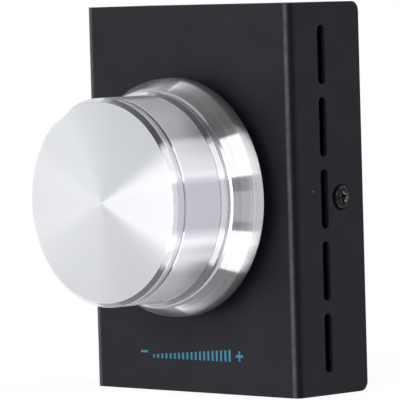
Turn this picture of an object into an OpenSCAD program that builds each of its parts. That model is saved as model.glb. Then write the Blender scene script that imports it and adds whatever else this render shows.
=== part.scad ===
// Desk volume control: a large turned aluminium knob on a folded sheet steel case.
// The knob turns without end on a rotary encoder and presses in to mute.
// Millimetres, +Z up, the knob points to -Y. The origin is the centre of the case's underside.

/* [Case] */
// Height of the case
case_h = 88; // [86:1:94]
// Width of the case
case_w = 64.4; // [63:0.2:70]
// Depth of the case, from front face to back face
case_d = 22.8; // [22.4:0.2:26]
// Thickness of the sheet steel
sheet = 1.0; // [0.8:0.1:1.1]
// Outer radius of the front cover's two long bends
cover_bend_r = 1.5; // [1.3:0.1:2]
// Outer radius of the tray's bends and of the cover's rounded rear corners
tray_bend_r = 2.2; // [1.8:0.1:2.6]

/* [Vents and side screws] */
// Number of vent slots in each side
vent_count = 5; // [3:1:5]
// Overall length of a vent slot
vent_len = 13.4; // [10:0.2:14]
// Width of a vent slot
vent_w = 2.4; // [2:0.1:3]
// Distance from one slot's middle to the next one's
vent_pitch = 16.15; // [15.5:0.05:16.3]
// Distance of the slots' middle line behind the front face
vent_depth = 10.2; // [9.6:0.1:10.6]
// Distance of the side screws behind the front face
screw_depth = 15.7; // [15.2:0.1:16.4]
// Height of the side screws above the underside
screw_z = 44.1; // [42:0.1:46]
// Radius of a side screw's head
screw_head_r = 2.7; // [2.5:0.1:2.9]

/* [Knob] */
// Height of the knob's axis above the underside
axis_z = 44.7; // [43:0.1:46]
// Radius of the knob's barrel
barrel_r = 23.4; // [22:0.1:24]
// Radius of the rim at the back of the knob's skirt
rim_r = 27.1; // [26.6:0.1:28]
// Gap between the case and the knob's rim
rim_gap = 4.15; // [4:0.05:4.6]
// Length of the knob, from rim to front face
knob_len = 24.05; // [23.5:0.05:26]
// Leg of the chamfer round the knob's front face
front_chamfer = 1.0; // [0.6:0.1:1.4]
// How far the knob presses in
press_travel = 0.5; // [0.3:0.1:0.6]

/* [Encoder] */
// Radius of the encoder's shaft
shaft_r = 3.0; // [3:0.05:3.05]
// Outer radius of the encoder's threaded bush
bush_r = 3.5; // [3.5:0.05:3.6]
// Width of the encoder's square body
encoder_w = 12; // [11.6:0.1:12.4]

/* [Inlet] */
// Width of the USB inlet's shell
usb_w = 7.7; // [7.5:0.1:8]
// Height of the USB inlet's shell
usb_t = 3.9; // [3.8:0.1:4]

/* [Hidden] */
$fn = 96;

powder_black = [0.12, 0.12, 0.13];
turned_aluminium = [0.80, 0.80, 0.83];

front_y = -case_d / 2;
back_y = case_d / 2;
fold_gap = 0.1;                         // room between the cover and the tray
tray_half_w = case_w / 2 - sheet - fold_gap;
screw_y = front_y + screw_depth;
eps = 0.01;

// Knob lengths are measured forward from the case's front face, along the axis.
knob_front = rim_gap + knob_len;
barrel_front = knob_front - front_chamfer;
groove_z = barrel_front - 2.0;          // middle of the fine groove behind the front land
groove_half = 0.35;
groove_deep = 0.3;
bead_z = rim_gap + 9.9;                 // where the barrel starts to flare into the rear bead
bead_rise = 0.9;
bead_back = bead_z - 1.3;
neck_r = barrel_r - 0.1;                // floor of the recess between bead and skirt
neck_back = bead_back - 0.95;
skirt_top_r = barrel_r + 1.05;
rim_front = rim_gap + 2.8;
rim_taper = 0.15;                       // the rim is a little narrower at its front
rim_wall = 1.9;
skirt_hollow = 2.3;                     // depth of the rim's straight bore
cap_t = 3.3;
wall_t = 2.0;
cap_back = knob_front - cap_t;
bore_r = barrel_r - wall_t;

// Encoder lengths use the same axis, so what lies inside the case is negative.
plate_t = 0.9;
plate_back = -sheet - plate_t;
body_back = -7.5;
board_t = 1.6;
board_back = body_back - board_t;
bush_front = 6.0;
shaft_front = 19.0;
shaft_back = -5.35;
hub_back = 8.0;
flat_d = shaft_r / 2;                   // distance of the shaft's flat from its axis
running = 0.05;                         // radial clearance of a running fit
neck_shaft_r = 2.2;
neck_flat_d = 1.5;
rotor_floor = -4.9;
switch_floor = -6.9;
dome_top = -6.7;
detent_count = 24;

board_half_w = 23;
board_low = 23.5 - axis_z;
board_high = case_h - 2.5 - axis_z;
low_pins = [-2.5, 0, 2.5];              // across the encoder: three pins below, two above
high_pins = [-2.5, 2.5];
pin_y = encoder_w / 2 + 1.0;
pin_w = 0.9;
pin_t = 0.4;
pin_end = board_back - 1.4;
pin_root = -6.2;
lug_x = encoder_w / 2 + 0.35;
lug_w = 2.2;
lug_t = 0.6;

// Moves children so that their Z axis runs forward along the knob's axis, with zero on the
// case's front face. Their Y axis stays up.
module on_axis() {
    translate([0, front_y, axis_z]) rotate([90, 0, 0]) children();
}

// Both sides of the case, with the children's Z axis pointing out of the side face.
module on_side(side, y, z) {
    translate([side * case_w / 2, y, z]) rotate([0, side * 90, 0]) children();
}

// A quarter of a bent sheet's round edge, in the plane of the profile.
module quarter_bend(outer_r) {
    intersection() {
        difference() {
            circle(r = outer_r);
            circle(r = outer_r - sheet);
        }
        square(outer_r);
    }
}

// A U of sheet: a web of full width and two legs, bent at the two corners. The web's outer
// face lies on y = 0 and the legs run towards -Y.
module sheet_u(width, leg, bend_r) {
    translate([-width / 2 + bend_r, -sheet]) square([width - 2 * bend_r, sheet]);
    for (side = [-1, 1]) mirror([side < 0 ? 1 : 0, 0]) {
        translate([width / 2 - bend_r, -bend_r]) quarter_bend(bend_r);
        translate([width / 2 - sheet, -leg]) square([sheet, leg - bend_r]);
    }
}

// A bar with round ends, standing along Y and centred.
module slot_2d(len, w) {
    square([w, len - w], center = true);
    for (end = [-1, 1]) translate([0, end * (len - w) / 2]) circle(r = w / 2);
}

// A round shaft section with one flat towards +X.
module d_section(r, flat) {
    intersection() {
        circle(r = r);
        translate([-r, -r]) square([r + flat, 2 * r]);
    }
}

// ---- Case ----

module front_cover() color(powder_black) {
    difference() {
        translate([0, front_y, 0]) mirror([0, 1, 0]) linear_extrude(case_h)
            sheet_u(case_w, case_d, cover_bend_r);
        cover_rear_corners();
        for (i = [0 : vent_count - 1]) vent_cut(i);
        for (side = [-1, 1]) on_side(side, screw_y, screw_z) countersink();
        on_axis() translate([0, 0, -sheet - eps]) cylinder(r = bush_r + 0.1, h = sheet + 2 * eps);
    }
}

// What is cut off to round the side plates' rear corners, top and bottom.
module cover_rear_corners() {
    for (top = [0, 1]) translate([0, back_y - tray_bend_r, top ? case_h - tray_bend_r : tray_bend_r])
        difference() {
            translate([-case_w / 2 - eps, 0, top ? 0 : -tray_bend_r - eps])
                cube([case_w + 2 * eps, tray_bend_r + eps, tray_bend_r + eps]);
            rotate([0, 90, 0]) cylinder(r = tray_bend_r, h = case_w + 1, center = true);
        }
}

module vent_cut(i) {
    z = case_h / 2 + (i - (vent_count - 1) / 2) * vent_pitch;
    translate([0, front_y + vent_depth, z]) rotate([90, 0, 90])
        linear_extrude(case_w + 1, center = true) slot_2d(vent_len, vent_w);
}

// A countersunk hole with a narrow ring of air round the screw's head.
module countersink() {
    mouth_r = screw_head_r + 0.35;
    translate([0, 0, -sheet]) cylinder(r1 = mouth_r - sheet, r2 = mouth_r, h = sheet);
    translate([0, 0, -eps]) cylinder(r = mouth_r, h = 1);
    translate([0, 0, -sheet - 1]) cylinder(r = mouth_r - sheet, h = 1 + eps);
}

module rear_tray() color(powder_black) {
    usb_room = 0.25;
    usb_mid = front_y - board_back + usb_t / 2;
    difference() {
        union() {
            translate([0, back_y, case_h / 2]) rotate([0, 90, 0])
                linear_extrude(2 * tray_half_w, center = true)
                    sheet_u(case_h, case_d - sheet - fold_gap, tray_bend_r);
            for (side = [0, 1]) mirror([side, 0, 0]) side_tab();
        }
        for (side = [0, 1]) mirror([side, 0, 0]) {
            tab_notch();
            tray_front_corner();
            translate([tray_half_w, screw_y, screw_z]) rotate([0, 90, 0]) tab_hole();
        }
        translate([0, usb_mid, case_h]) linear_extrude(3 * sheet, center = true)
            rounded_box_2d(usb_w + 2 * usb_room, usb_t + 2 * usb_room, 0.6);
    }
}

// Takes off the front corner of the top and bottom walls, to clear the inside of the cover's
// long bends.
module tray_front_corner() {
    cut = 0.7 * (cover_bend_r - sheet) + 0.05;
    translate([tray_half_w, front_y + sheet + fold_gap, -1]) linear_extrude(case_h + 2)
        polygon([[-cut, -eps], [eps, -eps], [eps, cut]]);
}

module rounded_box_2d(w, h, r) {
    square([w - 2 * r, h], center = true);
    square([w, h - 2 * r], center = true);
    for (sx = [-1, 1], sy = [-1, 1]) translate([sx * (w / 2 - r), sy * (h / 2 - r)]) circle(r = r);
}

tab_h = 14;
tab_bend_r = 1.6;
tab_front = screw_y - 3.6;

// A tab folded forward from the back plate; the side screw is threaded into it.
module side_tab() {
    translate([0, back_y, screw_z - tab_h / 2]) linear_extrude(tab_h) {
        translate([tray_half_w - tab_bend_r, -tab_bend_r]) quarter_bend(tab_bend_r);
        translate([tray_half_w - sheet, tab_front - back_y])
            square([sheet, back_y - tab_front - tab_bend_r]);
    }
    // The collar that the thread is cut in
    translate([tray_half_w - sheet - 0.9, screw_y, screw_z]) rotate([0, 90, 0])
        cylinder(r = 2.4, h = 0.9 + eps);
}

// Clears the back plate's square edge where the tab's round bend takes its place.
module tab_notch() {
    relief = 0.6;
    translate([tray_half_w - tab_bend_r, back_y - tab_bend_r, screw_z - tab_h / 2]) difference() {
        cube([tab_bend_r + eps, tab_bend_r + eps, tab_h]);
        translate([0, 0, -eps]) cylinder(r = tab_bend_r, h = tab_h + 2 * eps);
    }
    for (end = [-1, 1])
        translate([tray_half_w - tab_bend_r, back_y - sheet - eps, screw_z + end * (tab_h + relief) / 2])
            translate([0, 0, -relief / 2]) cube([tab_bend_r + eps, sheet + 2 * eps, relief]);
}

module tab_hole() {
    hole_r = 1.5;
    mouth_r = screw_head_r + 0.35 - sheet - fold_gap;
    translate([0, 0, -sheet - 1]) cylinder(r = hole_r, h = sheet + 2);
    translate([0, 0, hole_r - mouth_r]) cylinder(r1 = hole_r, r2 = mouth_r, h = mouth_r - hole_r);
}

// Black M3 raised countersunk screws with a cross recess, one in each side of the case.
module side_screws() color([0.09, 0.09, 0.10]) {
    for (side = [-1, 1]) on_side(side, screw_y, screw_z) difference() {
        rotate_extrude() side_screw_profile();
        for (turn = [0, 90]) rotate(turn + 12) translate([0, 0, 0.1])
            cube([3.0, 0.62, 2.1], center = true);
        translate([0, 0, -1.0]) cylinder(r1 = 0.35, r2 = 0.85, h = 1.6);
    }
}

module side_screw_profile() {
    lip = 0.25;
    shank_r = 1.45;
    tip = -6.2;
    dome_h = 0.5;
    neck = -(screw_head_r - shank_r) - lip;
    dome_r = (screw_head_r * screw_head_r + dome_h * dome_h) / (2 * dome_h);
    dome_edge = asin(screw_head_r / dome_r);
    polygon(concat(
        [for (a = [0 : 0.125 : 1]) [dome_r * sin(a * dome_edge), dome_h - dome_r * (1 - cos(a * dome_edge))]],
        [[screw_head_r, -lip], [shank_r, neck], [shank_r, tip + 0.5], [shank_r - 0.5, tip], [0, tip]]));
}

// Four stick-on rubber feet on the back, which the case lies on when it is used flat.
module rubber_feet() color([0.06, 0.06, 0.06]) {
    foot_r = 4;
    foot_t = 1.6;
    for (sx = [-1, 1], sz = [-1, 1])
        translate([sx * (case_w / 2 - 8), back_y, case_h / 2 + sz * (case_h / 2 - 9)])
            rotate([-90, 0, 0]) {
                cylinder(r = foot_r, h = foot_t - 0.4);
                translate([0, 0, foot_t - 0.4]) cylinder(r1 = foot_r, r2 = foot_r - 0.4, h = 0.4);
            }
}

// ---- Encoder ----

// Die-cast plate with its threaded bush and the two legs that reach through the board.
module encoder_frame() color([0.72, 0.72, 0.70]) on_axis() {
    lug_out = lug_x + lug_t / 2;
    difference() {
        union() {
            translate([-encoder_w / 2, -encoder_w / 2, plate_back]) cube([encoder_w, encoder_w, plate_t]);
            translate([-lug_out, -lug_w / 2, plate_back]) cube([2 * lug_out, lug_w, plate_t]);
            rotate_extrude() bush_profile();
        }
        translate([0, 0, plate_back - 1]) cylinder(r = shaft_r + running, h = bush_front - plate_back + 2);
    }
    for (side = [-1, 1]) translate([side * lug_x - lug_t / 2, -lug_w / 2, board_back - 0.9])
        cube([lug_t, lug_w, plate_back - board_back + 0.9]);
}

// The bush's thread, as plain rings of M7 fine pitch.
module bush_profile() {
    pitch = 0.75;
    depth = 0.3;
    thread_from = 0.6;
    rings = 6;
    polygon(concat(
        [[0, plate_back], [bush_r, plate_back], [bush_r, thread_from]],
        [for (i = [0 : rings - 1], k = [0, 1, 2])
            [bush_r - (k == 1 ? depth : 0), thread_from + (i + k / 2 * 0.96 + 0.02) * pitch]],
        [[bush_r, bush_front - 0.5], [bush_r - 0.4, bush_front], [0, bush_front]]));
}

module encoder_washer() color([0.75, 0.75, 0.77]) on_axis() {
    difference() {
        cylinder(r = 5.9, h = 0.5);
        translate([0, 0, -1]) cylinder(r = bush_r + 0.12, h = 3);
    }
}

module encoder_nut() color([0.78, 0.74, 0.62]) on_axis() {
    across_flats = 10;
    difference() {
        intersection() {
            translate([0, 0, 0.5]) cylinder(r = across_flats / 2 / cos(30), h = 2, $fn = 6);
            translate([0, 0, 0.5]) cylinder(r1 = 6.3, r2 = 5.35, h = 2);
        }
        cylinder(r = bush_r + 0.02, h = 4);
    }
}

// Moulded body: a front cavity for the rotor and a rear one for the push switch.
module encoder_base() color([0.10, 0.10, 0.11]) on_axis() {
    difference() {
        translate([-encoder_w / 2, -encoder_w / 2, body_back])
            cube([encoder_w, encoder_w, plate_back - body_back]);
        translate([0, 0, rotor_floor]) cylinder(r = 5.2, h = 4);
        translate([0, 0, rotor_floor - 0.5]) cylinder(r = 2.5, h = 1);
        translate([0, 0, switch_floor]) cylinder(r = 3.5, h = 1.6);
    }
}

// Three sprung brass wipers lying on the floor of the rotor's cavity.
module encoder_wipers() color([0.80, 0.65, 0.30]) on_axis() {
    for (i = [-1, 0, 1]) rotate(i * 50 - 90) translate([2.9, -0.4, rotor_floor]) {
        cube([2.0, 0.8, 0.08]);
        translate([0.2, 0.2, 0.08]) cube([0.4, 0.4, 0.06]);
    }
}

// Five tinned pins: three for the encoder below, two for the switch above.
module encoder_terminals() color([0.82, 0.82, 0.80]) on_axis() {
    for (x = low_pins) terminal(x, -1);
    for (x = high_pins) terminal(x, 1);
}

module terminal(x, side) {
    translate([x, 0, 0]) mirror([0, side < 0 ? 1 : 0, 0]) {
        translate([-pin_w / 2, encoder_w / 2, pin_root - pin_t])
            cube([pin_w, pin_y - encoder_w / 2 + pin_t / 2, pin_t]);
        translate([-pin_w / 2, pin_y - pin_t / 2, pin_end]) cube([pin_w, pin_t, pin_root - pin_end]);
    }
}

// Flat ring spring under the plate, with two noses that click over the rotor's notches.
module detent_spring() color([0.75, 0.72, 0.62]) on_axis() {
    spring_t = 0.15;
    difference() {
        translate([0, 0, plate_back - spring_t]) cylinder(r = 5.1, h = spring_t);
        translate([0, 0, plate_back - 1]) cylinder(r = 3.95, h = 2);
    }
    for (turn = [0, 180]) rotate(turn) translate([4.5, 0, plate_back - spring_t - 0.1])
        cylinder(r = 0.35, h = 0.1 + eps);
}

// Cup-shaped rotor: the shaft's rear end slides through its D-shaped hole and turns it.
module encoder_rotor() color([0.85, 0.83, 0.75]) on_axis() {
    rim_face = plate_back - 0.32;
    difference() {
        translate([0, 0, -4.7]) cylinder(r = 5.1, h = rim_face + 4.7);
        translate([0, 0, -3.15]) cylinder(r = 3.9, h = 2);
        translate([0, 0, -5]) linear_extrude(3) d_section(neck_shaft_r + 0.06, neck_flat_d + 0.06);
        for (i = [0 : detent_count - 1]) rotate((i + 0.5) * 360 / detent_count)
            translate([3.8, -0.2, rim_face - 0.12]) cube([1.5, 0.4, 1]);
    }
}

// Steel shaft: a D-cut front half for the knob's hub, and a collar that stops it at the plate.
module encoder_shaft() color([0.70, 0.70, 0.72]) on_axis() {
    d_from = 7.0;
    collar_front = plate_back - 0.05;
    collar_t = 0.4;
    tip = 0.4;
    difference() {
        translate([0, 0, collar_front - collar_t])
            cylinder(r = shaft_r, h = shaft_front - tip - collar_front + collar_t);
        translate([flat_d, -shaft_r - 1, d_from]) cube([shaft_r, 2 * shaft_r + 2, shaft_front]);
    }
    translate([0, 0, shaft_front - tip - eps]) intersection() {
        cylinder(r1 = shaft_r, r2 = shaft_r - tip, h = tip + eps);
        translate([-shaft_r, -shaft_r, -1]) cube([shaft_r + flat_d, 2 * shaft_r, 2]);
    }
    translate([0, 0, collar_front - collar_t]) cylinder(r = shaft_r + 0.6, h = collar_t);
    translate([0, 0, shaft_back]) linear_extrude(collar_front - collar_t - shaft_back)
        d_section(neck_shaft_r, neck_flat_d);
}

// The small plastic button that the shaft's end pushes against the switch's dome.
module switch_plunger() color([0.92, 0.92, 0.90]) on_axis() {
    disc_t = 0.4;
    nose_end = dome_top + 0.05 + press_travel;
    translate([0, 0, shaft_back - disc_t]) cylinder(r = 2.4, h = disc_t);
    translate([0, 0, nose_end]) cylinder(r = 1.0, h = shaft_back - disc_t - nose_end);
}

// Snap dome of the push switch, on the floor of its cavity.
module switch_dome() color([0.78, 0.78, 0.74]) on_axis() {
    translate([0, 0, switch_floor]) cylinder(r1 = 3.0, r2 = 1.2, h = dome_top - switch_floor);
}

// ---- Electronics ----

module circuit_board() color([0.05, 0.30, 0.14]) on_axis() {
    difference() {
        translate([0, (board_low + board_high) / 2, board_back]) linear_extrude(board_t)
            rounded_box_2d(2 * board_half_w, board_high - board_low, 1.5);
        for (x = low_pins) translate([x, -pin_y, board_back - 1]) cylinder(r = 0.6, h = 4);
        for (x = high_pins) translate([x, pin_y, board_back - 1]) cylinder(r = 0.6, h = 4);
        for (side = [-1, 1]) translate([side * lug_x, 0, board_back + board_t / 2])
            cube([lug_t + 0.3, lug_w + 0.3, board_t + 1], center = true);
    }
}

// Cones of solder round each pin and leg on the back of the board.
module solder_joints() color([0.80, 0.80, 0.82]) on_axis() {
    for (x = low_pins) solder(x, -pin_y, pin_w, pin_t, 0.9);
    for (x = high_pins) solder(x, pin_y, pin_w, pin_t, 0.9);
    for (side = [-1, 1]) solder(side * lug_x, 0, lug_t, lug_w, 1.7);
}

module solder(x, y, w, h, r) {
    translate([x, y, board_back - 0.7]) difference() {
        cylinder(r1 = r * 0.6 + 0.05, r2 = r, h = 0.7);
        cube([w, h, 3], center = true);
    }
}

chip_x = -9;
chip_y = 22;
chip_w = 3.9;
chip_len = 9.9;
lead_pitch = 1.27;

// Sixteen-lead controller chip on the back of the board.
module controller_chip() color([0.08, 0.08, 0.09]) on_axis() {
    translate([chip_x - chip_w / 2, chip_y - chip_len / 2, board_back - 1.6]) difference() {
        cube([chip_w, chip_len, 1.45]);
        translate([0.8, chip_len - 0.9, -eps]) cylinder(r = 0.4, h = 0.15);
    }
}

module chip_leads() color([0.82, 0.82, 0.82]) on_axis() {
    for (i = [0 : 7], side = [-1, 1])
        translate([chip_x, chip_y + (i - 3.5) * lead_pitch - 0.2, board_back])
            mirror([side < 0 ? 1 : 0, 0, 0]) {
                translate([chip_w / 2, 0, -0.95]) cube([0.6, 0.4, 0.2]);
                translate([chip_w / 2 + 0.4, 0, -0.95]) cube([0.2, 0.4, 0.95]);
                translate([chip_w / 2 + 0.4, 0, -0.2]) cube([0.8, 0.4, 0.2]);
            }
}

// Oblong metal can of the clock crystal, lying flat.
module crystal() color([0.80, 0.80, 0.80]) on_axis() {
    translate([10, 24, board_back - 3.4]) linear_extrude(3.4) slot_2d(10.8, 4.4);
}

// Two small electrolytic cans standing off the back of the board.
module capacitors() color([0.75, 0.75, 0.78]) on_axis() {
    for (x = [-13, 13]) translate([x, -12, 0]) {
        translate([-2.6, -2.6, board_back - 0.6]) cube([5.2, 5.2, 0.6]);
        translate([0, 0, board_back - 5.4]) cylinder(r = 2.45, h = 4.8 + eps);
    }
}

// Small surface-mount resistors and capacitors, in a row below the chip and one beside it.
module chip_parts() color([0.55, 0.45, 0.35]) on_axis() {
    for (i = [0 : 4]) {
        translate([-12 + i * 3, 11, board_back - 0.25]) cube([0.8, 1.6, 0.5], center = true);
        translate([0, 16 + i * 3, board_back - 0.25]) cube([1.6, 0.8, 0.5], center = true);
    }
}

usb_len = 9.2;
usb_top = case_h - 0.05 - axis_z;
usb_low = usb_top - usb_len;

// Outline of a mini-B shell: full width near the board, drawn in on the far side.
module usb_outline(inset) {
    half = usb_w / 2 - inset;
    narrow = usb_w / 2 - 1.1 - inset * 0.6;
    polygon([[-half, -inset], [half, -inset], [half, -usb_t * 0.55], [narrow, -usb_t * 0.78],
        [narrow, -usb_t + inset], [-narrow, -usb_t + inset], [-narrow, -usb_t * 0.78], [-half, -usb_t * 0.55]]);
}

// Stamped shell of the USB inlet, open at the top of the case.
module usb_shell() color([0.80, 0.80, 0.80]) on_axis() {
    shell_t = 0.35;
    translate([0, usb_top, board_back]) rotate([90, 0, 0]) difference() {
        linear_extrude(usb_len) usb_outline(0);
        translate([0, 0, -eps]) linear_extrude(usb_len - 0.5) usb_outline(shell_t);
    }
}

// Insulator: a block at the shell's rear and the tongue that the plug goes over.
module usb_tongue() color([0.10, 0.10, 0.10]) on_axis() {
    translate([-2.4, usb_low + 0.55, board_back - 2.9]) cube([4.8, 1.5, 2.5]);
    translate([-2.2, usb_low + 2.0, board_back - 2.2]) cube([4.4, usb_len - 3.4, 0.8]);
}

module usb_contacts() color([0.85, 0.70, 0.35]) on_axis() {
    for (i = [-2 : 2]) translate([i * 0.8 - 0.15, usb_low + 2.1, board_back - 1.4]) cube([0.3, 5.2, 0.12]);
}

// ---- Knob ----

// One turned piece: flat front, fine groove, barrel, rear bead, and a flared skirt with a rim.
module knob() color(turned_aluminium) on_axis() {
    rotate_extrude($fn = 180) polygon([
        [0, knob_front],
        [barrel_r - front_chamfer, knob_front],
        [barrel_r, barrel_front],
        [barrel_r, groove_z + groove_half],
        [barrel_r - groove_deep, groove_z],
        [barrel_r, groove_z - groove_half],
        [barrel_r, bead_z],
        [barrel_r + bead_rise, bead_z - bead_rise],
        [barrel_r + bead_rise + 0.05, bead_back + 0.1],
        [barrel_r + bead_rise - 0.05, bead_back],
        [neck_r, bead_back],
        [neck_r, neck_back],
        [skirt_top_r - 0.1, neck_back],
        [skirt_top_r, neck_back - 0.1],
        [rim_r - rim_taper - 0.08, rim_front + 0.1],
        [rim_r - rim_taper, rim_front - 0.1],
        [rim_r, rim_gap + 0.15],
        [rim_r - 0.15, rim_gap],
        [rim_r - rim_wall, rim_gap],
        [rim_r - rim_wall, rim_gap + skirt_hollow],
        [bore_r, neck_back - 0.2],
        [bore_r, cap_back],
        [0, cap_back]]);
}

// Plastic hub pressed into the knob: a flange, six ribs and a split socket for the D-shaft.
module knob_hub() color([0.12, 0.12, 0.13]) on_axis() {
    flange_t = 2;
    hub_r = 6.5;
    rib_t = 1.6;
    rib_back = hub_back + 6;
    fit = 0.05;
    difference() {
        union() {
            translate([0, 0, cap_back - flange_t]) cylinder(r = bore_r - fit, h = flange_t);
            translate([0, 0, hub_back]) cylinder(r = hub_r, h = cap_back - flange_t - hub_back + eps);
            intersection() {
                for (i = [0 : 5]) rotate(i * 60) translate([0, -rib_t / 2, rib_back])
                    cube([bore_r, rib_t, cap_back - flange_t - rib_back + eps]);
                translate([0, 0, rib_back]) cylinder(r = bore_r - fit, h = cap_back - rib_back);
            }
        }
        translate([0, 0, hub_back - 1]) linear_extrude(shaft_front + 0.3 - hub_back + 1)
            d_section(shaft_r + 0.02, flat_d + 0.02);
        for (turn = [90, 270]) rotate(turn) translate([0, -0.5, hub_back - 1])
            cube([hub_r + 1, 1, 5.5]);
    }
}

// Spring steel band that closes the hub's split end on the shaft.
module hub_clip() color([0.60, 0.60, 0.62]) on_axis() {
    difference() {
        translate([0, 0, hub_back + 0.6]) cylinder(r = 7.1, h = 3);
        translate([0, 0, hub_back]) cylinder(r = 6.5, h = 5);
        rotate(40) translate([0, -0.8, hub_back]) cube([8, 1.6, 5]);
    }
}

front_cover();
rear_tray();
side_screws();
rubber_feet();
encoder_frame();
encoder_washer();
encoder_nut();
encoder_base();
encoder_wipers();
encoder_terminals();
detent_spring();
encoder_rotor();
encoder_shaft();
switch_plunger();
switch_dome();
circuit_board();
solder_joints();
controller_chip();
chip_leads();
crystal();
capacitors();
chip_parts();
usb_shell();
usb_tongue();
usb_contacts();
knob();
knob_hub();
hub_clip();
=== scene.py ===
import math

import bmesh
import bpy
from mathutils import Matrix, Vector


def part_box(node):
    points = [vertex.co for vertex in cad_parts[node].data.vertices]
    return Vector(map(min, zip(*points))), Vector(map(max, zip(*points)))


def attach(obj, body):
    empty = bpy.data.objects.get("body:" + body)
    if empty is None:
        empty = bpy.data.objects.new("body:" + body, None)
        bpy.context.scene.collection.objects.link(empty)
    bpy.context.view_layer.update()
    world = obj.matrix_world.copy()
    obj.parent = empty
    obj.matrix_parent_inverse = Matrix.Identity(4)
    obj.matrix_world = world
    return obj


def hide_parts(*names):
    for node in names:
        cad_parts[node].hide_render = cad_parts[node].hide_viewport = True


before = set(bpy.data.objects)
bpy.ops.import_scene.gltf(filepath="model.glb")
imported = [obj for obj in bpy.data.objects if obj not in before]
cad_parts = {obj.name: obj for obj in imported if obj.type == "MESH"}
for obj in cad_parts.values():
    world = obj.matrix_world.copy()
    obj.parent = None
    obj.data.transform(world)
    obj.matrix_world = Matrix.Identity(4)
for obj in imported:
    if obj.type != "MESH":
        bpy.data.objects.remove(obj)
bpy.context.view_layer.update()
MM = 0.001

# The camera stands a metre away, to the right of the knob and just above the case's top, with
# a long lens. It leans a little, as in the photograph.
CAMERA_AZIMUTH = math.radians(44.5)
CAMERA_ELEVATION = math.radians(2.9)
CAMERA_LEAN = math.radians(-1.6)
CAMERA_DISTANCE = 984.5 * MM
CAMERA_ASIDE = 2.2 * MM
CAMERA_DROP = 0.17 * MM
LENS_MM = 390.2
AIM = Vector((0, -11.4, 44)) * MM

back = Vector((math.sin(CAMERA_AZIMUTH) * math.cos(CAMERA_ELEVATION),
               -math.cos(CAMERA_AZIMUTH) * math.cos(CAMERA_ELEVATION),
               math.sin(CAMERA_ELEVATION)))
level_right = Vector((0, 0, 1)).cross(back).normalized()
level_up = back.cross(level_right)
right = math.cos(CAMERA_LEAN) * level_right + math.sin(CAMERA_LEAN) * level_up
up = back.cross(right)

camera_data = bpy.data.cameras.new("camera")
camera_data.sensor_width = 36
camera_data.lens = LENS_MM
camera_data.clip_end = 100
camera = bpy.data.objects.new("camera", camera_data)
bpy.context.scene.collection.objects.link(camera)
place = AIM + back * CAMERA_DISTANCE + right * CAMERA_ASIDE - up * CAMERA_DROP
camera.matrix_world = Matrix.Translation(place) @ Matrix((right, up, back)).transposed().to_4x4()
bpy.context.scene.camera = camera
bpy.context.scene.view_settings.view_transform = "Standard"


# The floor is a wide pale sheet. Close to the case it takes the case's shadow, and further off
# it is plain white. Other pieces get its light as plain paper.
FLOOR_HALF = 30.0
SHADOW_NEAR = 0.10
SHADOW_FAR = 0.45
PAPER_SHADED = (0.36, 0.36, 0.36, 1)
PAPER_GLOW = 0.85
PAPER_PLAIN = (0.8, 0.8, 0.8, 1)
WHITE = (1, 1, 1, 1)


def add_node(tree, kind, values=None, **settings):
    """Adds a shader node and sets its properties and its unlinked inputs."""
    node = tree.nodes.new("ShaderNode" + kind)
    for name, value in settings.items():
        setattr(node, name, value)
    for name, value in (values or {}).items():
        node.inputs[name].default_value = value
    return node


def as_object(name, mesh):
    """Makes an object of a finished bmesh and puts it in the scene."""
    data = bpy.data.meshes.new(name)
    mesh.to_mesh(data)
    mesh.free()
    piece = bpy.data.objects.new(name, data)
    bpy.context.scene.collection.objects.link(piece)
    return piece


floor_mesh = bmesh.new()
bmesh.ops.create_grid(floor_mesh, x_segments=1, y_segments=1, size=FLOOR_HALF)
floor = as_object("floor", floor_mesh)
floor.visible_glossy = False
floor.visible_shadow = False

pale_sheet = bpy.data.materials.new("pale_sheet")
pale_sheet.use_nodes = True
tree = pale_sheet.node_tree
tree.nodes.clear()
output = add_node(tree, "OutputMaterial")
paper = add_node(tree, "BsdfDiffuse", {"Color": PAPER_SHADED})
glow = add_node(tree, "Emission", {"Color": WHITE, "Strength": PAPER_GLOW})
lit_paper = add_node(tree, "AddShader")
white = add_node(tree, "Emission", {"Color": WHITE, "Strength": 1.0})
plain_paper = add_node(tree, "BsdfDiffuse", {"Color": PAPER_PLAIN})
where = add_node(tree, "TexCoord")
reach = add_node(tree, "VectorMath", operation="LENGTH")
far = add_node(tree, "MapRange", {"From Min": SHADOW_NEAR, "From Max": SHADOW_FAR},
               interpolation_type="SMOOTHSTEP")
rays = add_node(tree, "LightPath")
near_or_far = add_node(tree, "MixShader")
seen_or_not = add_node(tree, "MixShader")
tree.links.new(where.outputs["Object"], reach.inputs[0])
tree.links.new(reach.outputs["Value"], far.inputs["Value"])
tree.links.new(far.outputs["Result"], near_or_far.inputs["Fac"])
tree.links.new(paper.outputs[0], lit_paper.inputs[0])
tree.links.new(glow.outputs[0], lit_paper.inputs[1])
tree.links.new(lit_paper.outputs[0], near_or_far.inputs[1])
tree.links.new(white.outputs[0], near_or_far.inputs[2])
tree.links.new(rays.outputs["Is Camera Ray"], seen_or_not.inputs["Fac"])
tree.links.new(plain_paper.outputs[0], seen_or_not.inputs[1])
tree.links.new(near_or_far.outputs[0], seen_or_not.inputs[2])
tree.links.new(seen_or_not.outputs[0], output.inputs["Surface"])
floor.data.materials.append(pale_sheet)

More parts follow.
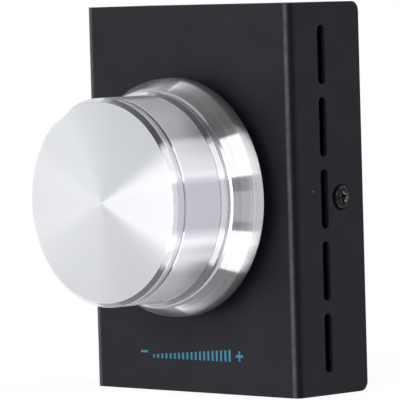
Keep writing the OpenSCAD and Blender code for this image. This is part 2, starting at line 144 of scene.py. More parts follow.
# The room's backdrop is white to the camera. Metal and clear pieces see it as a pale band round
# the horizon, darker to the right of the knob, under a dark ceiling. The rest of the light on
# the object comes from the lamps. Heights and edges are sines and cosines of the way looked.
BAND_MIDDLE = -0.14
BAND_HALF = 0.49
BAND_EDGE = 0.03
BAND_LIGHT = 0.745
BAND_TINT = (0.975, 0.985, 1.015)
DIP_AZIMUTH = math.radians(77)
DIP_OUTER = 0.962
DIP_INNER = 0.985
DIP_LIGHT = (0.118, 0.115, 0.13, 1)
CEILING_FRONT = 0.07
CEILING_REAR = 0.15
CEILING_FRONT_END = -0.35
CEILING_REAR_START = 0.05
UNDER_LIGHT = 0.09
ROOM_LIGHT = 0.05

world = bpy.data.worlds.new("studio")
bpy.context.scene.world = world
world.use_nodes = True
tree = world.node_tree
tree.nodes.clear()
output = add_node(tree, "OutputWorld")
seen_room = add_node(tree, "Background", {"Color": WHITE, "Strength": 1.0})
mirrored_room = add_node(tree, "Background", {"Strength": 1.0})
dim_room = add_node(tree, "Background", {"Color": WHITE, "Strength": ROOM_LIGHT})
where = add_node(tree, "TexCoord")
split = add_node(tree, "SeparateXYZ")
off_middle = add_node(tree, "Math", {1: BAND_MIDDLE}, operation="SUBTRACT")
off_band = add_node(tree, "Math", operation="ABSOLUTE")
above = add_node(tree, "MapRange", {"From Min": BAND_HALF - BAND_EDGE,
                                    "From Max": BAND_HALF + BAND_EDGE},
                 interpolation_type="SMOOTHSTEP")
dip_way = (math.sin(DIP_AZIMUTH), -math.cos(DIP_AZIMUTH), 0)
level = add_node(tree, "VectorMath", {1: (1, 1, 0)}, operation="MULTIPLY")
level_unit = add_node(tree, "VectorMath", operation="NORMALIZE")
towards_dip = add_node(tree, "VectorMath", {1: dip_way}, operation="DOT_PRODUCT")
in_dip = add_node(tree, "MapRange", {"From Min": DIP_OUTER, "From Max": DIP_INNER},
                  interpolation_type="SMOOTHSTEP")
band = add_node(tree, "Mix", data_type="RGBA")
band.inputs[6].default_value = [BAND_LIGHT * c for c in BAND_TINT] + [1]
band.inputs[7].default_value = DIP_LIGHT
to_rear = add_node(tree, "MapRange", {"From Min": CEILING_FRONT_END,
                                      "From Max": CEILING_REAR_START,
                                      "To Min": CEILING_FRONT, "To Max": CEILING_REAR})
below = add_node(tree, "Math", {1: 0.0}, operation="LESS_THAN")
dark = add_node(tree, "Math", {1: UNDER_LIGHT}, operation="MULTIPLY_ADD")
ceiling = add_node(tree, "Mix", data_type="RGBA")
rays = add_node(tree, "LightPath")
mirror_ray = add_node(tree, "Math", operation="MAXIMUM")
by_mirror = add_node(tree, "MixShader")
by_camera = add_node(tree, "MixShader")
tree.links.new(where.outputs["Generated"], split.inputs[0])
tree.links.new(split.outputs["Z"], off_middle.inputs[0])
tree.links.new(off_middle.outputs[0], off_band.inputs[0])
tree.links.new(off_band.outputs[0], above.inputs["Value"])
tree.links.new(where.outputs["Generated"], level.inputs[0])
tree.links.new(level.outputs[0], level_unit.inputs[0])
tree.links.new(level_unit.outputs[0], towards_dip.inputs[0])
tree.links.new(towards_dip.outputs["Value"], in_dip.inputs["Value"])
tree.links.new(in_dip.outputs["Result"], band.inputs["Factor"])
tree.links.new(split.outputs["Y"], to_rear.inputs["Value"])
tree.links.new(split.outputs["Z"], below.inputs[0])
tree.links.new(below.outputs[0], dark.inputs[0])
tree.links.new(to_rear.outputs["Result"], dark.inputs[2])
tree.links.new(dark.outputs[0], ceiling.inputs[7])
tree.links.new(band.outputs[2], ceiling.inputs[6])
tree.links.new(above.outputs["Result"], ceiling.inputs["Factor"])
tree.links.new(ceiling.outputs[2], mirrored_room.inputs["Color"])
tree.links.new(rays.outputs["Is Glossy Ray"], mirror_ray.inputs[0])
tree.links.new(rays.outputs["Is Transmission Ray"], mirror_ray.inputs[1])
tree.links.new(mirror_ray.outputs[0], by_mirror.inputs["Fac"])
tree.links.new(dim_room.outputs[0], by_mirror.inputs[1])
tree.links.new(mirrored_room.outputs[0], by_mirror.inputs[2])
tree.links.new(rays.outputs["Is Camera Ray"], by_camera.inputs["Fac"])
tree.links.new(by_mirror.outputs[0], by_camera.inputs[1])
tree.links.new(seen_room.outputs[0], by_camera.inputs[2])
tree.links.new(by_camera.outputs[0], output.inputs["Surface"])

# Large softboxes stand round the knob, some of them below the level of the sheet. The strips run
# along the knob's axis and give the barrel and the skirt their bright bands. The front fill
# lights painted faces only: metal doesn't mirror it.
KNOB_MIDDLE = Vector((0, -26, 44.7)) * MM


def softbox(name, azimuth, elevation, width, height, radiance, colour=(1, 1, 1), slide=0.0,
            distance=1.0):
    """A flat lamp facing the knob. Angles are in degrees, seen from the knob: azimuth 0 is in
    front of it. slide moves the lamp along its own width. Lengths are in metres."""
    a = math.radians(azimuth)
    e = math.radians(elevation)
    away = Vector((math.sin(a) * math.cos(e), -math.cos(a) * math.cos(e), math.sin(e)))
    across = Vector((math.cos(a), math.sin(a), 0))
    lamp_data = bpy.data.lights.new(name, "AREA")
    lamp_data.shape = "RECTANGLE"
    lamp_data.size = width
    lamp_data.size_y = height
    lamp_data.energy = radiance * math.pi * width * height
    lamp_data.color = colour
    lamp = bpy.data.objects.new(name, lamp_data)
    bpy.context.scene.collection.objects.link(lamp)
    turn = Matrix((across, away.cross(across), away)).transposed().to_4x4()
    lamp.matrix_world = Matrix.Translation(KNOB_MIDDLE + away * distance + across * slide) @ turn
    lamp.visible_camera = False
    return lamp


softbox("front_left_box", -45, 18, 1.2, 1.5, 0.34, (0.95, 1.0, 1.0))
softbox("front_strip", 8, -3, 0.28, 0.91, 2.2, (1.0, 1.0, 0.98))
softbox("left_box", -82, -3, 0.4, 0.5, 0.25)
softbox("right_wall", 80, -8, 0.30, 0.46, 0.28, (1.0, 0.95, 0.99))
softbox("upper_strip_front", 90, 41.3, 0.95, 0.75, 0.86, slide=-1.05)
softbox("upper_strip", 90, 35.4, 0.85, 0.65, 1.00, slide=-0.12)
softbox("upper_strip_rear", 90, 43.2, 0.98, 0.72, 0.92, slide=0.84)
softbox("lower_strip_front", 90, -56.5, 0.95, 0.62, 0.62, slide=-1.05)
softbox("lower_strip", 90, -47.3, 0.85, 0.65, 0.92, slide=-0.12)
softbox("lower_strip_rear", 90, -57.2, 0.98, 0.62, 0.75, slide=0.84)
softbox("rear_top_box", 180, 63, 1.45, 0.34, 1.2, (0.97, 0.97, 1.0), distance=1.12)
softbox("rear_bottom_box", 180, -63, 1.45, 0.34, 1.1, (0.97, 0.97, 1.0), distance=1.12)
softbox("upper_left_box", -108, 34, 0.9, 0.85, 0.23)
softbox("left_edge_box", -97, 31, 0.45, 0.6, 0.42)
softbox("lower_left_box", -108, -36, 0.9, 0.85, 0.20)
front_fill = softbox("front_fill", 3, 8, 0.8, 0.9, 2.4)
front_fill.visible_glossy = False


# The case is two folded steel sheets: a front cover with both side walls, its vents punched
# before bending, and a tray behind it. Both have a fine satin black powder coat, with a painted
# highlight in patches along the front bends and painted shade on the side walls just behind them.
COAT_BLACK = (0.0198, 0.0192, 0.0250, 1)
COAT_PALE = (0.0288, 0.0278, 0.0345, 1)
# The next colour is a painted highlight along the front bends, and the one after it painted shade just
# behind them.
BEND_PAINTED_HIGHLIGHT = (0.125, 0.123, 0.136, 1)
BEND_PAINTED_SHADE = (0.0085, 0.0082, 0.0112, 1)
COAT_DUST = (0.16, 0.16, 0.17, 1)
COAT_ROUGHNESS = 0.42
COAT_IOR = 1.21
PEEL_HEIGHT = 0.000018
PEEL_PER_M = 2600.0
DUST_RARITY = 0.972
DUST_SIZE = 0.09
BEND_R = 1.5
# Where the painted bend highlight and the painted shade behind it begin and fade, in mm.
HIGHLIGHT_FADE = 0.5
HIGHLIGHT_FRONT = 0.03
HIGHLIGHT_BACK = 0.26
SHADE_OUTSIDE = 0.4
SHADE_INSIDE = 0.9
SHADE_FRONT = 0.9
SHADE_BACK = 2.2

cover_low, cover_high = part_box("front_cover")


def coat_texture_group():
    """Powder coat: a fine orange peel, a soft mottle and a few pale specks of dust."""
    group = bpy.data.node_groups.new("coat_texture", "ShaderNodeTree")
    group.interface.new_socket("Vector", in_out="INPUT", socket_type="NodeSocketVector")
    group.interface.new_socket("Peel per m", in_out="INPUT", socket_type="NodeSocketFloat")
    group.interface.new_socket("Height", in_out="OUTPUT", socket_type="NodeSocketFloat")
    group.interface.new_socket("Mottle", in_out="OUTPUT", socket_type="NodeSocketFloat")
    group.interface.new_socket("Dust", in_out="OUTPUT", socket_type="NodeSocketFloat")
    start = group.nodes.new("NodeGroupInput")
    end = group.nodes.new("NodeGroupOutput")
    peel = add_node(group, "TexNoise", {"Detail": 3.0, "Roughness": 0.6})
    mottle = add_node(group, "TexNoise", {"Scale": 90.0, "Detail": 2.0})
    specks = add_node(group, "TexVoronoi", {"Scale": 330.0})
    size = add_node(group, "TexWhiteNoise", noise_dimensions="3D")
    rare = add_node(group, "Math", {1: DUST_RARITY}, operation="GREATER_THAN")
    close = add_node(group, "Math", {1: DUST_SIZE}, operation="LESS_THAN")
    speck = add_node(group, "Math", operation="MULTIPLY")
    group.links.new(start.outputs["Vector"], peel.inputs["Vector"])
    group.links.new(start.outputs["Peel per m"], peel.inputs["Scale"])
    group.links.new(start.outputs["Vector"], mottle.inputs["Vector"])
    group.links.new(start.outputs["Vector"], specks.inputs["Vector"])
    group.links.new(specks.outputs["Position"], size.inputs["Vector"])
    group.links.new(size.outputs["Value"], rare.inputs[0])
    group.links.new(specks.outputs["Distance"], close.inputs[0])
    group.links.new(rare.outputs[0], speck.inputs[0])
    group.links.new(close.outputs[0], speck.inputs[1])
    group.links.new(peel.outputs["Fac"], end.inputs["Height"])
    group.links.new(mottle.outputs["Fac"], end.inputs["Mottle"])
    group.links.new(speck.outputs[0], end.inputs["Dust"])
    return group


def bend_light_and_shade_group():
    """Masks for painted light on the coat: a painted highlight along the two front bends, and
    painted shade on the side walls just behind the bends."""
    group = bpy.data.node_groups.new("bend_light_and_shade", "ShaderNodeTree")
    group.interface.new_socket("Vector", in_out="INPUT", socket_type="NodeSocketVector")
    group.interface.new_socket("Highlight", in_out="OUTPUT", socket_type="NodeSocketFloat")
    group.interface.new_socket("Shade", in_out="OUTPUT", socket_type="NodeSocketFloat")
    start = group.nodes.new("NodeGroupInput")
    end = group.nodes.new("NodeGroupOutput")
    split = add_node(group, "SeparateXYZ")
    aside = add_node(group, "Math", operation="ABSOLUTE")
    front = cover_low.y
    half_width = cover_high.x
    round_side = add_node(group, "MapRange", {"From Min": half_width - (BEND_R + HIGHLIGHT_FADE) * MM,
                                              "From Max": half_width - BEND_R * MM})
    round_front = add_node(group, "MapRange", {"From Min": front + HIGHLIGHT_BACK * MM,
                                               "From Max": front + HIGHLIGHT_FRONT * MM})
    at_side = add_node(group, "MapRange", {"From Min": half_width - SHADE_INSIDE * MM,
                                           "From Max": half_width - SHADE_OUTSIDE * MM})
    past_bend = add_node(group, "MapRange", {"From Min": front + SHADE_BACK * MM,
                                             "From Max": front + SHADE_FRONT * MM})
    bend_shade = add_node(group, "Math", operation="MULTIPLY")
    on_bend = add_node(group, "Math", operation="MULTIPLY")
    patches = add_node(group, "TexNoise", {"Scale": 260.0, "Detail": 4.0, "Roughness": 0.65})
    patchy = add_node(group, "MapRange", {"From Min": 0.30, "From Max": 0.60, "To Min": 0.45})
    bend_highlight = add_node(group, "Math", operation="MULTIPLY")
    group.links.new(start.outputs["Vector"], split.inputs[0])
    group.links.new(split.outputs["X"], aside.inputs[0])
    group.links.new(aside.outputs[0], round_side.inputs["Value"])
    group.links.new(split.outputs["Y"], round_front.inputs["Value"])
    group.links.new(round_side.outputs["Result"], on_bend.inputs[0])
    group.links.new(round_front.outputs["Result"], on_bend.inputs[1])
    group.links.new(start.outputs["Vector"], patches.inputs["Vector"])
    group.links.new(patches.outputs["Fac"], patchy.inputs["Value"])
    group.links.new(on_bend.outputs[0], bend_highlight.inputs[0])
    group.links.new(patchy.outputs["Result"], bend_highlight.inputs[1])
    group.links.new(bend_highlight.outputs[0], end.inputs["Highlight"])
    group.links.new(aside.outputs[0], at_side.inputs["Value"])
    group.links.new(split.outputs["Y"], past_bend.inputs["Value"])
    group.links.new(at_side.outputs["Result"], bend_shade.inputs[0])
    group.links.new(past_bend.outputs["Result"], bend_shade.inputs[1])
    group.links.new(bend_shade.outputs[0], end.inputs["Shade"])
    return group


def powder_coat():
    """Satin black powder coat on folded steel, with painted highlight and painted shade at the front
    bends.
    """
    material = bpy.data.materials.new("powder_coat")
    material.use_nodes = True
    tree = material.node_tree
    surface = tree.nodes["Principled BSDF"]
    surface.inputs["IOR"].default_value = COAT_IOR
    where = add_node(tree, "TexCoord")
    texture = add_node(tree, "Group", node_tree=coat_texture_group())
    texture.inputs["Peel per m"].default_value = PEEL_PER_M
    bend_marks = add_node(tree, "Group", node_tree=bend_light_and_shade_group())
    tone = add_node(tree, "Mix", data_type="RGBA")
    tone.inputs[6].default_value = COAT_BLACK
    tone.inputs[7].default_value = COAT_PALE
    # Painted shade behind the bends, then a painted highlight along them.
    bend_shaded = add_node(tree, "Mix", data_type="RGBA")
    bend_shaded.inputs[7].default_value = BEND_PAINTED_SHADE
    bend_lit = add_node(tree, "Mix", data_type="RGBA")
    bend_lit.inputs[7].default_value = BEND_PAINTED_HIGHLIGHT
    dusted = add_node(tree, "Mix", data_type="RGBA")
    dusted.inputs[7].default_value = COAT_DUST
    share = add_node(tree, "MapRange", {"From Min": 0.3, "From Max": 0.8})
    gloss = add_node(tree, "MapRange", {"From Min": 0.3, "From Max": 0.7,
                                        "To Min": COAT_ROUGHNESS - 0.03,
                                        "To Max": COAT_ROUGHNESS + 0.04})
    bump = add_node(tree, "Bump", {"Strength": 0.5, "Distance": PEEL_HEIGHT})
    tree.links.new(where.outputs["Object"], texture.inputs["Vector"])
    tree.links.new(where.outputs["Object"], bend_marks.inputs["Vector"])
    tree.links.new(texture.outputs["Mottle"], share.inputs["Value"])
    tree.links.new(share.outputs["Result"], tone.inputs["Factor"])
    tree.links.new(tone.outputs[2], bend_shaded.inputs[6])
    tree.links.new(bend_marks.outputs["Shade"], bend_shaded.inputs["Factor"])
    tree.links.new(bend_shaded.outputs[2], bend_lit.inputs[6])
    tree.links.new(bend_marks.outputs["Highlight"], bend_lit.inputs["Factor"])
    tree.links.new(bend_lit.outputs[2], dusted.inputs[6])
    tree.links.new(texture.outputs["Dust"], dusted.inputs["Factor"])
    tree.links.new(dusted.outputs[2], surface.inputs["Base Color"])
    tree.links.new(texture.outputs["Mottle"], gloss.inputs["Value"])
    tree.links.new(gloss.outputs["Result"], surface.inputs["Roughness"])
    tree.links.new(texture.outputs["Height"], bump.inputs["Height"])
    tree.links.new(bump.outputs["Normal"], surface.inputs["Normal"])
    return material


def give(material, *nodes):
    """Puts a material on CAD nodes."""
    for name in nodes:
        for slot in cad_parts[name].material_slots:
            slot.material = material


give(powder_coat(), "front_cover", "rear_tray")


# The marks under the knob are screen printed in blue ink: a minus, a row of rising bars and a
# plus, for quieter and louder. Sizes and places are in mm on the front panel.
PRINT_LEFT = -17.3
PRINT_RIGHT = 15.3
PRINT_LOW = 7.4
PRINT_HIGH = 10.1
INK_THICKNESS = 0.02
STROKE = 0.55
SIGN_SIZE = 2.3
SIGN_GAP = 1.6
BAR_COUNT = 19
BAR_WIDTH = 0.62
BAR_LEAST = 0.8
INK_BLUE = (0.028, 0.245, 0.395)
INK_PALE = (0.040, 0.290, 0.440)

marks = bmesh.new()


def print_bar(left, right, low, high):
    """One printed rectangle on the panel, in mm."""
    place = Matrix.Translation(((left + right) / 2 * MM, cover_low.y - INK_THICKNESS / 2 * MM,
                                (low + high) / 2 * MM))
    size = Matrix.Diagonal(((right - left) * MM, INK_THICKNESS * MM, (high - low) * MM, 1))
    bmesh.ops.create_cube(marks, size=1, matrix=place @ size)


sign_middle = (PRINT_LOW + PRINT_HIGH) / 2
for left in (PRINT_LEFT, PRINT_RIGHT - SIGN_SIZE):
    print_bar(left, left + SIGN_SIZE, sign_middle - STROKE / 2, sign_middle + STROKE / 2)
plus_middle = PRINT_RIGHT - SIGN_SIZE / 2
for low, high in ((sign_middle - SIGN_SIZE / 2, sign_middle - STROKE / 2),
                  (sign_middle + STROKE / 2, sign_middle + SIGN_SIZE / 2)):
    print_bar(plus_middle - STROKE / 2, plus_middle + STROKE / 2, low, high)
bars_left = PRINT_LEFT + SIGN_SIZE + SIGN_GAP
bars_right = PRINT_RIGHT - SIGN_SIZE - SIGN_GAP
for i in range(BAR_COUNT):
    left = bars_left + i * (bars_right - bars_left - BAR_WIDTH) / (BAR_COUNT - 1)
    rise = BAR_LEAST + (PRINT_HIGH - PRINT_LOW - BAR_LEAST) * i / (BAR_COUNT - 1)
    print_bar(left, left + BAR_WIDTH, PRINT_LOW, PRINT_LOW + rise)
printed_marks = as_object("printed_marks", marks)


def surface_grain_group():
    """Fine grain for moulded, cast, stamped and plated surfaces. Stretch draws it out into
    brush marks along one axis."""
    group = bpy.data.node_groups.new("surface_grain", "ShaderNodeTree")
    group.interface.new_socket("Vector", in_out="INPUT", socket_type="NodeSocketVector")
    group.interface.new_socket("Grain per m", in_out="INPUT", socket_type="NodeSocketFloat")
    group.interface.new_socket("Stretch", in_out="INPUT", socket_type="NodeSocketVector")
    group.interface.new_socket("Height", in_out="OUTPUT", socket_type="NodeSocketFloat")
    group.interface.new_socket("Mottle", in_out="OUTPUT", socket_type="NodeSocketFloat")
    start = group.nodes.new("NodeGroupInput")
    end = group.nodes.new("NodeGroupOutput")
    drawn = add_node(group, "VectorMath", operation="MULTIPLY")
    grain = add_node(group, "TexNoise", {"Detail": 3.0, "Roughness": 0.65})
    patches = add_node(group, "TexNoise", {"Scale": 420.0, "Detail": 3.0})
    group.links.new(start.outputs["Vector"], drawn.inputs[0])
    group.links.new(start.outputs["Stretch"], drawn.inputs[1])
    group.links.new(drawn.outputs[0], grain.inputs["Vector"])
    group.links.new(start.outputs["Grain per m"], grain.inputs["Scale"])
    group.links.new(start.outputs["Vector"], patches.inputs["Vector"])
    group.links.new(grain.outputs["Fac"], end.inputs["Height"])
    group.links.new(patches.outputs["Fac"], end.inputs["Mottle"])
    return group


surface_grain = surface_grain_group()


def grained(name, colour, stain, metallic, roughness, grain=3000.0, stretch=(1, 1, 1),
            height=0.00001):
    """A finish with a fine grain. Its colour drifts towards stain in soft patches. grain is how
    many grains there are in a metre, and height is how high they stand in metres."""
    material = bpy.data.materials.new(name)
    material.use_nodes = True
    tree = material.node_tree
    surface = tree.nodes["Principled BSDF"]
    surface.inputs["Metallic"].default_value = metallic
    where = add_node(tree, "TexCoord")
    texture = add_node(tree, "Group", node_tree=surface_grain)
    texture.inputs["Grain per m"].default_value = grain
    texture.inputs["Stretch"].default_value = stretch
    tone = add_node(tree, "Mix", data_type="RGBA")
    tone.inputs[6].default_value = (*colour, 1)
    tone.inputs[7].default_value = (*stain, 1)
    share = add_node(tree, "MapRange", {"From Min": 0.35, "From Max": 0.75})
    gloss = add_node(tree, "MapRange", {"From Min": 0.3, "From Max": 0.7,
                                        "To Min": roughness * 0.85,
                                        "To Max": min(1.0, roughness * 1.2)})
    bump = add_node(tree, "Bump", {"Strength": 0.5, "Distance": height})
    tree.links.new(where.outputs["Object"], texture.inputs["Vector"])
    tree.links.new(texture.outputs["Mottle"], share.inputs["Value"])
    tree.links.new(share.outputs["Result"], tone.inputs["Factor"])
    tree.links.new(tone.outputs[2], surface.inputs["Base Color"])
    tree.links.new(texture.outputs["Height"], gloss.inputs["Value"])
    tree.links.new(gloss.outputs["Result"], surface.inputs["Roughness"])
    tree.links.new(texture.outputs["Height"], bump.inputs["Height"])
    tree.links.new(bump.outputs["Normal"], surface.inputs["Normal"])
    return material


printed_marks.data.materials.append(grained("blue_ink", INK_BLUE, INK_PALE, 0.0, 0.45,
                                            grain=5000.0, height=0.000008))
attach(printed_marks, "housing")

# Two M3 raised countersunk screws hold the cover to the tray, one in each side. They are steel
# with a black zinc finish, set a little deep, and rubbed bright where the driver has turned.
# Painted shadow fills a gap round each head, widest at its front, and a painted highlight flecks its rim.
HEAD_R = 2.48
HEAD_BACK = 0.42
GAP_EDGE = 0.08
RIM_INNER = HEAD_R - 0.28
RIM_OUTER = HEAD_R - 0.10
RUBBED_R = 1.15
RUBBED_INNER = RUBBED_R - 0.1
RUBBED_OUTER = RUBBED_R + 0.35
ZINC_BLACK = (0.006, 0.006, 0.007, 1)
ZINC_PALE = (0.020, 0.018, 0.021, 1)
# The next colour is a painted highlight for each head's rim.
RIM_PAINTED_HIGHLIGHT = (0.16, 0.15, 0.16, 1)
BARE_STEEL = (0.62, 0.60, 0.60, 1)
# The next colour is painted shadow for the gap round each head.
GAP_PAINTED_SHADOW = (0.001, 0.001, 0.001, 1)

screws_low, screws_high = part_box("side_screws")


def driven_head_group():
    """On a screw's head: painted shadow in the gap round it, a painted highlight on its narrow rim, and
    its rubbed recess.
    """
    group = bpy.data.node_groups.new("driven_head", "ShaderNodeTree")
    group.interface.new_socket("Vector", in_out="INPUT", socket_type="NodeSocketVector")
    group.interface.new_socket("Gap", in_out="OUTPUT", socket_type="NodeSocketFloat")
    group.interface.new_socket("Rim highlight", in_out="OUTPUT", socket_type="NodeSocketFloat")
    group.interface.new_socket("Rubbed", in_out="OUTPUT", socket_type="NodeSocketFloat")
    start = group.nodes.new("NodeGroupInput")
    end = group.nodes.new("NodeGroupOutput")
    middle = (screws_low + screws_high) / 2
    centred = add_node(group, "VectorMath", {1: (0, -middle.y - HEAD_BACK * MM, -middle.z)},
                       operation="ADD")
    flat = add_node(group, "VectorMath", {1: (0, 1, 1)}, operation="MULTIPLY")
    radius = add_node(group, "VectorMath", operation="LENGTH")
    gap = add_node(group, "MapRange", {"From Min": HEAD_R * MM, "From Max": (HEAD_R + GAP_EDGE) * MM})
    rim = add_node(group, "MapRange", {"From Min": RIM_INNER * MM, "From Max": RIM_OUTER * MM})
    ring = add_node(group, "Math", operation="SUBTRACT")
    rim_flecks = add_node(group, "TexNoise", {"Scale": 1500.0, "Detail": 3.0})
    some_rim = add_node(group, "MapRange", {"From Min": 0.38, "From Max": 0.62})
    rim_highlight_mask = add_node(group, "Math", operation="MULTIPLY")
    near_recess = add_node(group, "MapRange", {"From Min": RUBBED_OUTER * MM,
                                               "From Max": RUBBED_INNER * MM})
    flecks = add_node(group, "TexNoise", {"Scale": 2600.0, "Detail": 4.0, "Roughness": 0.7})
    few = add_node(group, "MapRange", {"From Min": 0.50, "From Max": 0.57})
    rubbed = add_node(group, "Math", operation="MULTIPLY")
    group.links.new(start.outputs["Vector"], centred.inputs[0])
    group.links.new(centred.outputs[0], flat.inputs[0])
    group.links.new(flat.outputs[0], radius.inputs[0])
    group.links.new(radius.outputs["Value"], gap.inputs["Value"])
    group.links.new(radius.outputs["Value"], rim.inputs["Value"])
    group.links.new(rim.outputs["Result"], ring.inputs[0])
    group.links.new(gap.outputs["Result"], ring.inputs[1])
    group.links.new(start.outputs["Vector"], rim_flecks.inputs["Vector"])
    group.links.new(rim_flecks.outputs["Fac"], some_rim.inputs["Value"])
    group.links.new(ring.outputs[0], rim_highlight_mask.inputs[0])
    group.links.new(some_rim.outputs["Result"], rim_highlight_mask.inputs[1])
    group.links.new(radius.outputs["Value"], near_recess.inputs["Value"])
    group.links.new(start.outputs["Vector"], flecks.inputs["Vector"])
    group.links.new(flecks.outputs["Fac"], few.inputs["Value"])
    group.links.new(near_recess.outputs["Result"], rubbed.inputs[0])
    group.links.new(few.outputs["Result"], rubbed.inputs[1])
    group.links.new(gap.outputs["Result"], end.inputs["Gap"])
    group.links.new(rim_highlight_mask.outputs[0], end.inputs["Rim highlight"])
    group.links.new(rubbed.outputs[0], end.inputs["Rubbed"])
    return group


def black_zinc():
    """Black zinc on steel, rubbed bright in flecks round the recess, with a painted highlight on the
    head's rim and painted shadow in the gap round it.
    """
    material = bpy.data.materials.new("black_zinc")
    material.use_nodes = True
    tree = material.node_tree
    surface = tree.nodes["Principled BSDF"]
    surface.inputs["IOR"].default_value = 1.22
    where = add_node(tree, "TexCoord")
    head = add_node(tree, "Group", node_tree=driven_head_group())
    texture = add_node(tree, "Group", node_tree=surface_grain)
    texture.inputs["Grain per m"].default_value = 3800.0
    texture.inputs["Stretch"].default_value = (1, 1, 1)
    tone = add_node(tree, "Mix", data_type="RGBA")
    tone.inputs[6].default_value = ZINC_BLACK
    tone.inputs[7].default_value = ZINC_PALE
    # A painted highlight on the rim, bare steel in the recess, then painted shadow in the gap.
    rim_highlighted = add_node(tree, "Mix", data_type="RGBA")
    rim_highlighted.inputs[7].default_value = RIM_PAINTED_HIGHLIGHT
    bright = add_node(tree, "Mix", data_type="RGBA")
    bright.inputs[7].default_value = BARE_STEEL
    gap_shadowed = add_node(tree, "Mix", data_type="RGBA")
    gap_shadowed.inputs[7].default_value = GAP_PAINTED_SHADOW
    dull = add_node(tree, "MapRange", {"To Min": 0.34, "To Max": 1.0})
    bump = add_node(tree, "Bump", {"Strength": 0.6, "Distance": 0.00003})
    tree.links.new(where.outputs["Object"], head.inputs["Vector"])
    tree.links.new(where.outputs["Object"], texture.inputs["Vector"])
    tree.links.new(texture.outputs["Height"], tone.inputs["Factor"])
    tree.links.new(tone.outputs[2], rim_highlighted.inputs[6])
    tree.links.new(head.outputs["Rim highlight"], rim_highlighted.inputs["Factor"])
    tree.links.new(rim_highlighted.outputs[2], bright.inputs[6])
    tree.links.new(head.outputs["Rubbed"], bright.inputs["Factor"])
    tree.links.new(bright.outputs[2], gap_shadowed.inputs[6])
    tree.links.new(head.outputs["Gap"], gap_shadowed.inputs["Factor"])
    tree.links.new(gap_shadowed.outputs[2], surface.inputs["Base Color"])
    tree.links.new(head.outputs["Rubbed"], surface.inputs["Metallic"])
    tree.links.new(head.outputs["Gap"], dull.inputs["Value"])
    tree.links.new(dull.outputs["Result"], surface.inputs["Roughness"])
    tree.links.new(texture.outputs["Height"], bump.inputs["Height"])
    tree.links.new(bump.outputs["Normal"], surface.inputs["Normal"])
    return material


give(black_zinc(), "side_screws")

# Four round feet of black rubber, cut from sheet and stuck on the back. The case lies on them
# when it is used flat.
give(grained("foot_rubber", (0.016, 0.016, 0.016), (0.030, 0.030, 0.029), 0.0, 0.82, grain=2200.0,
             height=0.00003), "rubber_feet")

# The encoder's front plate, legs and threaded bush are one zinc casting, left as cast. Its bush
# goes through the panel and its legs are soldered to the board.
give(grained("die_cast", (0.50, 0.50, 0.48), (0.38, 0.38, 0.36), 1.0, 0.42, grain=2600.0, height=0.00002),
     "encoder_frame")

# A stamped washer of nickel plated steel and a hexagon nut of nickel plated brass clamp the
# bush in the panel.
give(grained("nickel_plate", (0.64, 0.62, 0.58), (0.52, 0.50, 0.46), 1.0, 0.22, grain=1800.0,
             stretch=(1, 1, 6)), "encoder_washer")
give(grained("nickel_on_brass", (0.68, 0.62, 0.48), (0.58, 0.50, 0.34), 1.0, 0.20, grain=1600.0,
             stretch=(1, 8, 1)), "encoder_nut")

# The encoder's body is moulded in black glass-filled plastic, with a dull fine-grained skin. It
# holds the rotor and the switch, and sits behind the front plate.
give(grained("black_moulding", (0.017, 0.017, 0.018), (0.028, 0.027, 0.027), 0.0, 0.48, grain=2800.0,
             height=0.000015), "encoder_base")

# The wipers are stamped from sheet brass and rub on the rotor. The five pins are stamped too,
# and tinned so that they take the solder.
give(grained("wiper_brass", (0.80, 0.60, 0.28), (0.66, 0.46, 0.20), 1.0, 0.24, grain=2400.0,
             stretch=(1, 1, 5)), "encoder_wipers")
give(grained("tinned_brass", (0.74, 0.72, 0.66), (0.60, 0.56, 0.46), 1.0, 0.30, grain=2400.0,
             stretch=(1, 5, 1)), "encoder_terminals")

# The detent ring and the switch's dome are stamped from thin spring steel, blued a little by
# hardening. Both lie inside the encoder's body.
give(grained("spring_steel", (0.52, 0.51, 0.49), (0.40, 0.38, 0.36), 1.0, 0.26, grain=2000.0,
             stretch=(1, 1, 7)), "detent_spring", "switch_dome")

# The rotor and the switch's plunger are moulded in cream acetal, smooth and slightly waxy. The
# shaft turns the one and pushes the other.
give(grained("cream_acetal", (0.72, 0.69, 0.58), (0.66, 0.62, 0.50), 0.0, 0.38, grain=1500.0,
             height=0.000008), "encoder_rotor", "switch_plunger")

# The knob is one bar of aluminium, turned all over: a flat front with a fine chamfer, a land and
# a V-groove, the barrel, a bead, a recess, and a flared skirt with a narrow flank in front and a
# short rim behind. Sizes are in mm: radii, and distances ahead of the panel.
BARREL_R = 23.4
RIM_R = 27.1
KNOB_BACK = 4.15
KNOB_FRONT = 28.2
AXIS_Z = 44.7
PANEL_Y = -11.4
TURN_STEPS = 256
EDGE_BREAK = 0.10
CHAMFER = 1.0
GROOVE_HALF = 0.35
GROOVE_DEPTH = 0.3

front_edge = KNOB_FRONT - CHAMFER
groove = front_edge - 2.0
outside = [
    (BARREL_R - CHAMFER, KNOB_FRONT), (BARREL_R, front_edge),
    (BARREL_R, groove + GROOVE_HALF), (BARREL_R - GROOVE_DEPTH, groove), (BARREL_R, groove - GROOVE_HALF),
    (BARREL_R, KNOB_BACK + 9.9), (BARREL_R + 0.9, KNOB_BACK + 9.0), (BARREL_R + 0.9, KNOB_BACK + 8.6),
    (BARREL_R - 0.1, KNOB_BACK + 8.6), (BARREL_R - 0.1, KNOB_BACK + 7.65),
    (BARREL_R + 0.7, KNOB_BACK + 7.65), (BARREL_R + 1.35, KNOB_BACK + 7.35),
    (RIM_R - 0.15, KNOB_BACK + 2.8), (RIM_R, KNOB_BACK),
]
inside = [
    (RIM_R - 1.9, KNOB_BACK), (RIM_R - 1.9, KNOB_BACK + 2.3), (BARREL_R - 2, KNOB_BACK + 7.4),
    (BARREL_R - 2, KNOB_FRONT - 3.3),
]


